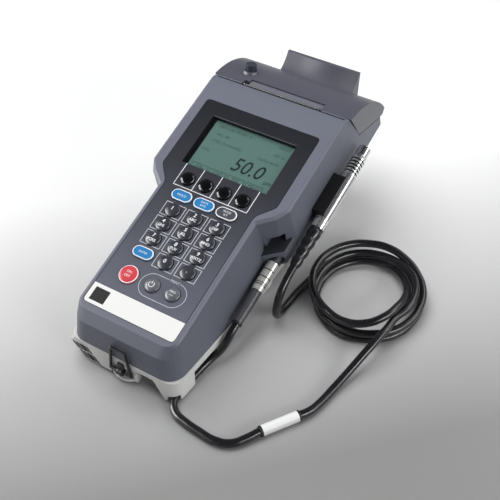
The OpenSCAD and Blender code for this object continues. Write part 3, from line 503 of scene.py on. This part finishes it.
# Ink reaches from just under the film to just above it
LOW, HIGH, FRAME_HIGH = -0.05, 0.05, 0.04
SOFT_PITCH, SOFT_LOW, SOFT_TOP, SOFT_LINE = 14.45, 111.8, 129.9, 0.5
SOFT_END = 2 * SOFT_PITCH + SOFT_LINE / 2
line_build = Build()
for i in range(-2, 3):
    bar(line_build, (i * SOFT_PITCH, SOFT_LOW), (i * SOFT_PITCH, SOFT_TOP), SOFT_LINE, LOW, HIGH, panel)
bar(line_build, (-SOFT_END, SOFT_LOW), (SOFT_END, SOFT_LOW), SOFT_LINE, LOW, HIGH, panel)
piece("soft_key_lines", line_build, PRINT_WHITE, "case")

PITCH_U, PITCH_W, ROW_W = 17.3, 12.1, 93.1
FRAME_U, FRAME_W, FRAME_END, FRAME_LINE = 7.6, 5.15, 7.775, 0.42
KEY_PLACES, BLUE_PLACE, ZERO_PLACE, DOT_PLACE = 12, 9, 10, 11


def number_keys():
    """Place in the grid and middle on the panel of every number key."""
    for i in range(KEY_PLACES):
        if i != BLUE_PLACE:
            yield i, (i % 3 - 1) * PITCH_U, ROW_W - (i // 3) * PITCH_W


frame_build = Build()
for _, u, w in number_keys():
    for side in (-1, 1):
        line_u, line_w = u + side * FRAME_U, w + side * FRAME_W
        bar(frame_build, (u - FRAME_END, line_w), (u + FRAME_END, line_w), FRAME_LINE, LOW, FRAME_HIGH, panel)
        bar(frame_build, (line_u, w - FRAME_W), (line_u, w + FRAME_W), FRAME_LINE, LOW, FRAME_HIGH, panel)
piece("key_frames", frame_build, PRINT_GREY, "case")


def rounded(points, radius, steps=5):
    """Closed outline with its corners rounded."""
    out = []
    for i, p in enumerate(points):
        corner, before, after = Vector(p), Vector(points[i - 1]), Vector(points[(i + 1) % len(points)])
        a = corner + (before - corner).normalized() * radius
        b = corner + (after - corner).normalized() * radius
        for k in range(steps + 1):
            t = k / steps
            out.append(tuple(a * (1 - t) ** 2 + corner * 2 * t * (1 - t) + b * t * t))
    return out


FILM_SIDE = [(35.05, 11.25), (35.05, 111.5), (45.15, 123.5), (45.15, 184.55)]
FILM_CORNER, GAP_LINE, GAP_LOW, GAP_HIGH = 3, 0.4, -0.3, 0.03
film_edge = rounded(FILM_SIDE + [(-u, w) for u, w in FILM_SIDE[::-1]], FILM_CORNER)
gap_build = Build()
for a, b in zip(film_edge, film_edge[1:] + film_edge[:1]):
    bar(gap_build, a, b, GAP_LINE, GAP_LOW, GAP_HIGH, panel)
piece("overlay_gap", gap_build, BEZEL, "case")

# Line round the two printer keys. Its straight top side stops short of the word
LOOP_LINE, LOOP_TOP, LOOP_STRAIGHT, LOOP_STUB = 0.35, 47, 3, (0.5, 9.2)
loop_build = Build()
loop = stadium(34, 17, 9, 39.2, 20)
for a, b in zip(loop, loop[1:] + loop[:1]):
    if min(a[1], b[1]) > LOOP_TOP and abs(a[0] - b[0]) > LOOP_STRAIGHT:
        a, b = (LOOP_STUB[0], a[1]), (LOOP_STUB[1], a[1])
    bar(loop_build, a, b, LOOP_LINE, LOW, HIGH, panel)
letter(loop_build, "PRINT", 2.6, 13.4, 47.6, lambda u, w: panel(u, w, HIGH))
piece("printer_loop", loop_build, PRINT_GREY, "case")


# Raised rings and legends on the keys. Round keys are given by diameter and height
NUMBER_KEY, RED_KEY, TOOL_KEY = (11, 2.6), (13.6, 1.8), (10.4, 2.6)
TOOL_W, POWER_U, FEED_U = 39.4, 1.3, 16.7
DOME_EDGE, DOME_FOOT = 1.6, 0.4


def dome(d, h):
    """Height of a round key's profile by distance from its middle."""
    curve = []
    for k in range(0, 91, 3):
        a = math.radians(k)
        r = d / 2 - DOME_EDGE * (1 - math.cos(a)) - (d / 2 - DOME_EDGE) * (k / 90) ** 2
        curve.append((r, DOME_FOOT + (h - DOME_FOOT) * math.sin(a)))
    curve.sort()

    def height(r):
        for (r0, z0), (r1, z1) in zip(curve, curve[1:]):
            if r <= r1:
                return z0 + (z1 - z0) * (r - r0) / max(r1 - r0, 1e-6)
        return curve[-1][1]
    return height


def on_dome(cu, cw, d, h, lift=0.05):
    """Way to lay print on a round key: from its own x and y to a point just above its dome."""
    height = dome(d, h)
    return lambda x, y: panel(cu + x, cw + y, height(math.hypot(x, y)) + lift)


def key_ring(name, body, cu, cw, length, width, profile, mat, slot):
    """Bead round a long key: profile gives inset from the outline and height."""
    build = Build()
    rings = [[panel(x, y, n) for x, y in stadium(length - 2 * inset, width - 2 * inset, cu, cw)]
             for inset, n in profile]
    build.loop_strip(rings + rings[:1])
    return piece(name, build, mat, body, True)


LONG_KEY, LONG_TEXT_N = (15.6, 8.6), 1.44
BEAD = [(0.02, 0.86), (0.06, 1.12), (0.2, 1.34), (0.42, 1.45), (0.72, 1.46), (0.86, 1.42), (0.86, 1.36), (0.5, 1.36)]
LONG_KEYS = [("mode_key_1", -17.5, 105.2, "blue_key", [("HOLD", 2.5, 0)]),
             ("mode_key_2", 0, 105.2, "blue_key", [("DATA", 2.1, 1.25), ("SAVE", 2.1, -1.25)]),
             ("mode_key_3", 17.5, 105.2, "grey_key", [("MODE", 2.1, 1.25), ("SET", 2.1, -1.25)]),
             ("blue_key", -PITCH_U, 56.8, "blue_key", [("ENTER", 2.2, 0)])]
for body, u, w, slot, words in LONG_KEYS:
    key_ring(body + "_ring", body, u, w, *LONG_KEY, BEAD, PRINT_WHITE, slot)
    build = Build()
    for text, size, dy in words:
        letter(build, text, size, u, w + dy, lambda x, y: panel(x, y, LONG_TEXT_N))
    piece(body + "_legend", build, PRINT_WHITE, body)

KEY_WEIGHT, KEY_MESH, DIGIT, GROUP = 0.07, 0.6, 4, 2.7
GROUPS = ["", "ABC", "DEF", "GHI", "JKL", "MNO", "PQRS", "TUV", "WXYZ"]
LAST_ROW = {ZERO_PLACE: ("key_0", "0"), DOT_PLACE: ("key_dot", ".")}
for i, u, w in number_keys():
    if i in LAST_ROW:
        body, sign = LAST_ROW[i]
        words = [(sign, DIGIT, 0.3)]
    else:
        body = "key_%d" % (i + 1)
        words = [(str(i + 1), DIGIT, 1.7 if GROUPS[i] else 0.4)]
        if GROUPS[i]:
            words.append((GROUPS[i], GROUP, -1.8))
    place = on_dome(u, w, *NUMBER_KEY)
    build = Build()
    for text, size, dy in words:
        letter(build, text, size, 0, dy, place, weight=KEY_WEIGHT, limit=KEY_MESH)
    piece(body + "_legend", build, PRINT_WHITE, body)

RED_U = -PITCH_U
red_place = on_dome(RED_U, TOOL_W, *RED_KEY)
build = Build()
for text, dy in (("ON", 1.5), ("OFF", -1.5)):
    letter(build, text, 2.6, 0, dy, red_place, limit=KEY_MESH)
piece("red_key_legend", build, PRINT_WHITE, "red_key")
# The ring's foot by radius and height, and its top by radius and height above the dome
RING_FOOT, RING_TOP, RING_SIDES = [(6.72, 0.2), (6.74, 0.5)], [(6.55, 0.08), (6.0, 0.08), (5.95, -0.05)], 64
red_height = dome(*RED_KEY)
circle = [(math.cos(a), math.sin(a)) for a in (2 * math.pi * i / RING_SIDES for i in range(RING_SIDES))]
build = Build()
build.loop_strip([[panel(RED_U + r * x, TOOL_W + r * y, n) for x, y in circle]
                  for r, n in RING_FOOT + [(r, red_height(r) + lift) for r, lift in RING_TOP]])
piece("red_key_ring", build, PRINT_WHITE, "red_key", True)

power_place = on_dome(POWER_U, TOOL_W, *TOOL_KEY)
build = Build()
arc = [math.radians(a) for a in range(125, 416, 10)]
build.loop_strip([[power_place(r * math.cos(a), r * math.sin(a) - 0.2) for a in arc] for r in (1.65, 2.15)],
                 closed=False)
build.loop_strip([[power_place(x, y) for y in (0.2, 0.9, 1.6, 2.3)] for x in (-0.24, 0.24)], closed=False)
piece("printer_power_key_legend", build, PRINT_WHITE, "printer_power_key")
feed_place = on_dome(FEED_U, TOOL_W, *TOOL_KEY)
build = Build()
letter(build, "FEED", 2.1, 0, 0.9, feed_place, limit=KEY_MESH)
build.loop_strip([[feed_place(x, y) for x in (-1.3, 0, 1.3)] for y in (-1.3, -1.55)], closed=False)
piece("printer_feed_key_legend", build, PRINT_WHITE, "printer_feed_key")

# Display: liquid crystal plate, black liner of the opening, which is partly the opening's own black wall and partly
# painted shade, and what it shows
LCD_U, LCD_W = (-33.5, 33.5), (130, 173)
GLASS_TOP, GLASS_LOW = -3.35, -4.55
INK_LOW, INK_HIGH, INK_LINE = GLASS_TOP + 0.005, GLASS_TOP + 0.015, 0.4
LINER_OUT, LINER_IN, LINER_TOP, LINER_LOW = 0.01, 0.09, -0.12, -3.28


def slab_build(u, w, low, high, soft):
    """Plate along the panel with a softened upper edge."""
    build = Build()
    build.loop_strip([[panel(*spot, n) for spot in corners(u, w, inset)]
                      for inset, n in ((0, low), (0, high - soft), (soft, high))], caps=True)
    return build


plate = slab_build((-33.8, 33.8), (LCD_W[0] - 0.4, LCD_W[1] + 0.4), GLASS_LOW, GLASS_TOP - 0.05, 0.1)
piece("lcd_border", plate, BEZEL, "case")
plate = slab_build((-30.6, 33.7), (LCD_W[0] - 0.3, LCD_W[1] - 0.5), GLASS_TOP - 0.12, GLASS_TOP, 0.03)
piece("lcd_glass", plate, LCD, "case")
# The liner is black partly as the wall's own colour and partly as painted shade.
LINER = [(LINER_OUT, LINER_TOP), (LINER_IN, LINER_TOP), (LINER_IN, LINER_LOW), (LINER_OUT, LINER_LOW)]
build = Build()
build.loop_strip([[panel(*spot, n) for spot in corners(LCD_U, LCD_W, inset)] for inset, n in LINER + LINER[:1]])
piece("window_liner_and_shade", build, BEZEL, "case")


def on_glass(u, w):
    """Point of the display's print."""
    return panel(u, w, GLASS_TOP + 0.02)


build = Build()
letter(build, "50.0", 16, 10.2, 144.2, on_glass, slant=0.18, stretch=0.88, weight=0.08)
letter(build, "µm", 4.6, 28.4, 139.4, on_glass, slant=0.1)
piece("lcd_reading", build, LCD_INK, "case")
SMALL_TEXT, MENU_TEXT = 3.1, 3.2
MENU_PITCH, MENU_HALF, MENU_LOW, MENU_W, MENU_TOP = 14.4, 6.3, 131, 133, 135
build = Build()
for words, u, w in (
        ("MEASURE MODE  A", -13.4, 168.6), ("READY", 26, 169), ("NO. 001", -19, 162), ("TYPE STANDARD", -13.6, 156),
        ("AVG", -25.6, 147.4), ("SET 01", 25.6, 161.8), ("DATA 05 M", 20, 155)):
    letter(build, words, SMALL_TEXT, u, w, on_glass)
for i, words in enumerate(("CAL", "STAT", "FILE", "MENU")):
    middle = (i - 1.5) * MENU_PITCH
    letter(build, words, MENU_TEXT, middle, MENU_W, on_glass)
    left, right = middle - MENU_HALF, middle + MENU_HALF
    for u in (left, right):
        bar(build, (u, MENU_LOW), (u, MENU_TOP), INK_LINE, INK_LOW, INK_HIGH, panel)
    bar(build, (left, MENU_TOP), (right, MENU_TOP), INK_LINE, INK_LOW, INK_HIGH, panel)
piece("lcd_rows", build, LCD_SOFT, "case")
# Painted highlight: a thin light line along the top edge of the window opening.
EDGE_HALF, EDGE_W, EDGE_LINE = 33.2, LCD_W[1] - 0.1, 0.2
build = Build()
bar(build, (-EDGE_HALF, EDGE_W), (EDGE_HALF, EDGE_W), EDGE_LINE, -0.14, 0.02, panel)
piece("window_edge_highlight", build, EDGE_HIGHLIGHT, "case")

# Painted shade in the slots of the front pad, and the dark bush of the strap ring
PAD_X, PAD_Y, PAD_W, PAD_RUN, PAD_TOP, PAD_LOW = -41.5, 0.2, 13.7, 10.6, 15.9, 2.6
SLOT_ROWS, SLOT_COUNT, SLOT_PITCH, SLOT_SPAN = ((0.07, 0.44), (0.55, 0.93)), 5, 0.19, (0.07, 0.19)


def on_pad(along, down, proud):
    """Point on the pad's front: along its top edge and down its slanted side, both 0 to 1."""
    return row(PAD_X + along * PAD_W + down * PAD_RUN, PAD_Y - proud, PAD_TOP - down * (PAD_TOP - PAD_LOW))


build = Build()
for rows in SLOT_ROWS:
    for i in range(SLOT_COUNT):
        span = [end + SLOT_PITCH * i for end in SLOT_SPAN]
        build.loop_strip([[on_pad(*spot, d) for spot in corners(span, rows)] for d in (-0.3, 0.12)], caps=True)
piece("pad_slot_shade", build, BLACK_BAND, "case")
LUG_Y, BUSH_HALF, BUSH_Z = -1.4, 2.35, 9.6
build = Build()
lathe(build, row(-BUSH_HALF, LUG_Y, BUSH_Z), row(BUSH_HALF, LUG_Y, BUSH_Z), [
    (0, 1.2), (0, 2.35), (0.04, 2.55), (0.3, 2.5), (0.5, 2.42), (0.7, 2.5), (0.96, 2.55), (1, 2.35), (1, 1.2)])
piece("ring_bush", build, BLACK_BAND, "case", True)

# Lighter lip in the paper slot of the cover
LIP_X, LIP_Y, LIP_Z = (-27.6, 31.6), (203.2, 208.5), (99.8, 100.25)
build = Build()
build.loop_strip([[row(*spot, z) for spot in corners(LIP_X, LIP_Y, inset)]
                  for inset, z in ((0, LIP_Z[0]), (0, LIP_Z[1] - 0.1), (0.1, LIP_Z[1]))], caps=True)
piece("slot_lip", build, SLOT_GREY, "printer_cover")

# Narrow lip that closes the seam in front of the cover
SEAM_X, SEAM_Y, SEAM_Z = (32.3, 51.5), (200.6, 201.8), (100.2, 101.2)
build = Build()
for side in (-1, 1):
    ends = [side * x for x in SEAM_X]
    build.loop_strip([[row(*spot, z) for spot in corners(ends, (SEAM_Y[0] + inset, SEAM_Y[1] - inset))]
                      for inset, z in ((0, SEAM_Z[0]), (0, SEAM_Z[1] - 0.1), (0.1, SEAM_Z[1]))], caps=True)
piece("cover_seam_lip", build, SEAM, "case")

# Smooth hollow face of the fin, as a curve in the side view
FIN_HALF, FIN_STEPS, FIN_DEPTH = 30.4, 24, 0.7
FIN_CURVE = [(254.6, 82.9), (257.4, 83.4), (262.2, 86.9), (266.5, 93.5)]
build = Build()
rows = []
for i in range(FIN_STEPS + 1):
    t = i / FIN_STEPS
    share = ((1 - t) ** 3, 3 * t * (1 - t) ** 2, 3 * t * t * (1 - t), t ** 3)
    y, z = (sum(k * p[axis] for k, p in zip(share, FIN_CURVE)) for axis in (0, 1))
    rows.append([row(-FIN_HALF, y, z), row(FIN_HALF, y, z), row(FIN_HALF, y + FIN_DEPTH, z - FIN_DEPTH),
                 row(-FIN_HALF, y + FIN_DEPTH, z - FIN_DEPTH)])
build.loop_strip(rows, caps=True)
piece("fin_face", build, FIN, "printer_cover", True)

# Painted shade: a dark sheet on the floor of the connector bay, and a dark plate on the front of the strap lug
BAY_SHADE_OUTLINE = [(40.5, 98.7), (54.1, 109.1), (54.8, 110.2), (54.8, 120.8), (40.5, 120.8)]
BAY_N = (-27.9, -27.5)
build = Build()
build.loop_strip([[panel(*spot, n) for spot in BAY_SHADE_OUTLINE] for n in BAY_N], caps=True)
piece("bay_shade_sheet", build, BAY_SHADE, "case")
# The lug's dark plate is painted shade in the recess round the lug.
LUG_X, LUG_Z = (-2.2, 2.2), (9.2, 17.1)
build = Build()
build.loop_strip([[row(x, LUG_Y + back, z) for x, z in corners(LUG_X, LUG_Z, inset)]
                  for inset, back in ((0, 1.2), (0, -0.05), (0.15, -0.15))], caps=True)
piece("lug_shade_plate", build, BLACK_BAND, "case")

# Plain dark field on the label
build = slab_build((-31.8, -20.6), (13.8, 23.4), -0.02, 0.06, 0.03)
piece("label_field", build, BLACK_BAND, "case")

# Floor, world and lamps. The floor's colour carries painted light: it gets lighter from the right front to the left
# rear
FLOOR, FLOOR_SPAN, FLOOR_LIGHT_TONES = (-4, 4), (-0.25, 0.14), (0.27, 0.97)
floor_mesh = bpy.data.meshes.new("floor")
floor_mesh.from_pydata([(x, y, 0) for x, y in corners(FLOOR, FLOOR)], [], [[0, 1, 2, 3]])
floor = bpy.data.objects.new("floor", floor_mesh)
scene.collection.objects.link(floor)
floor_mat = bpy.data.materials.new("floor")
floor_mat.use_nodes = True
tree = floor_mat.node_tree
bsdf = tree.nodes["Principled BSDF"]
coord = tree.nodes.new("ShaderNodeTexCoord")
split = tree.nodes.new("ShaderNodeSeparateXYZ")
tree.links.new(coord.outputs["Object"], split.inputs["Vector"])
slope = tree.nodes.new("ShaderNodeMath")
slope.operation = "MULTIPLY_ADD"
slope.inputs[1].default_value = -1
tree.links.new(split.outputs["X"], slope.inputs[0])
tree.links.new(split.outputs["Y"], slope.inputs[2])
ramp = tree.nodes.new("ShaderNodeValToRGB")
spread = tree.nodes.new("ShaderNodeMapRange")
spread.inputs["From Min"].default_value, spread.inputs["From Max"].default_value = FLOOR_SPAN
tree.links.new(slope.outputs["Value"], spread.inputs["Value"])
tree.links.new(spread.outputs["Result"], ramp.inputs["Fac"])
for stop, tone in zip(ramp.color_ramp.elements, FLOOR_LIGHT_TONES):
    stop.color = (tone, tone, tone, 1)
tree.links.new(ramp.outputs["Color"], bsdf.inputs["Base Color"])
bsdf.inputs["Roughness"].default_value = 0.3
bsdf.inputs["Specular IOR Level"].default_value = 0.5
floor_mesh.materials.append(floor_mat)

world = bpy.data.worlds.new("studio")
scene.world = world
world.use_nodes = True
tree = world.node_tree
background = tree.nodes["Background"]
background.inputs["Color"].default_value = (0.97, 0.98, 1, 1)
# Studio walls are brighter than its ceiling, so that plating and cable have dark tops
WALL_LIGHT, CEILING_LIGHT = 0.28, 0.04
coord = tree.nodes.new("ShaderNodeTexCoord")
split = tree.nodes.new("ShaderNodeSeparateXYZ")
level = tree.nodes.new("ShaderNodeMapRange")
level.inputs["To Min"].default_value = WALL_LIGHT
level.inputs["To Max"].default_value = CEILING_LIGHT
tree.links.new(coord.outputs["Generated"], split.inputs["Vector"])
tree.links.new(split.outputs["Z"], level.inputs["Value"])
tree.links.new(level.outputs["Result"], background.inputs["Strength"])


def lamp(name, place, aim, size_x, size_y, watts, diffuse=True, gloss=True):
    """Rectangular lamp, which may be kept out of diffuse light or out of reflections."""
    data = bpy.data.lights.new(name, "AREA")
    data.shape = "RECTANGLE"
    data.size, data.size_y, data.energy = size_x, size_y, watts
    obj = bpy.data.objects.new(name, data)
    obj.location = place
    obj.rotation_euler = (Vector(aim) - Vector(place)).to_track_quat("-Z", "Y").to_euler()
    obj.visible_diffuse = diffuse
    obj.visible_glossy = gloss
    scene.collection.objects.link(obj)


lamp("key", (-0.45, 0.1, 1.3), (0.02, 0, 0.05), 1.2, 1.2, 19, gloss=False)
lamp("right", (1.0, -0.25, 0.5), (0.05, 0, 0.05), 0.6, 0.3, 4.5)
lamp("rear", (0.5, 0.9, 0.9), (0.03, 0, 0.05), 0.8, 0.6, 4)
lamp("front_card", (-0.5, -0.75, 0.3), (0, 0, 0.07), 1.0, 0.25, 1.2, diffuse=False)
lamp("left_card", (-0.8, -0.4, 0.42), (0, 0, 0.08), 0.9, 0.5, 17, diffuse=False)
lamp("right_card", (0.9, 0.2, 0.45), (0.08, 0, 0.03), 0.9, 0.22, 4, diffuse=False)
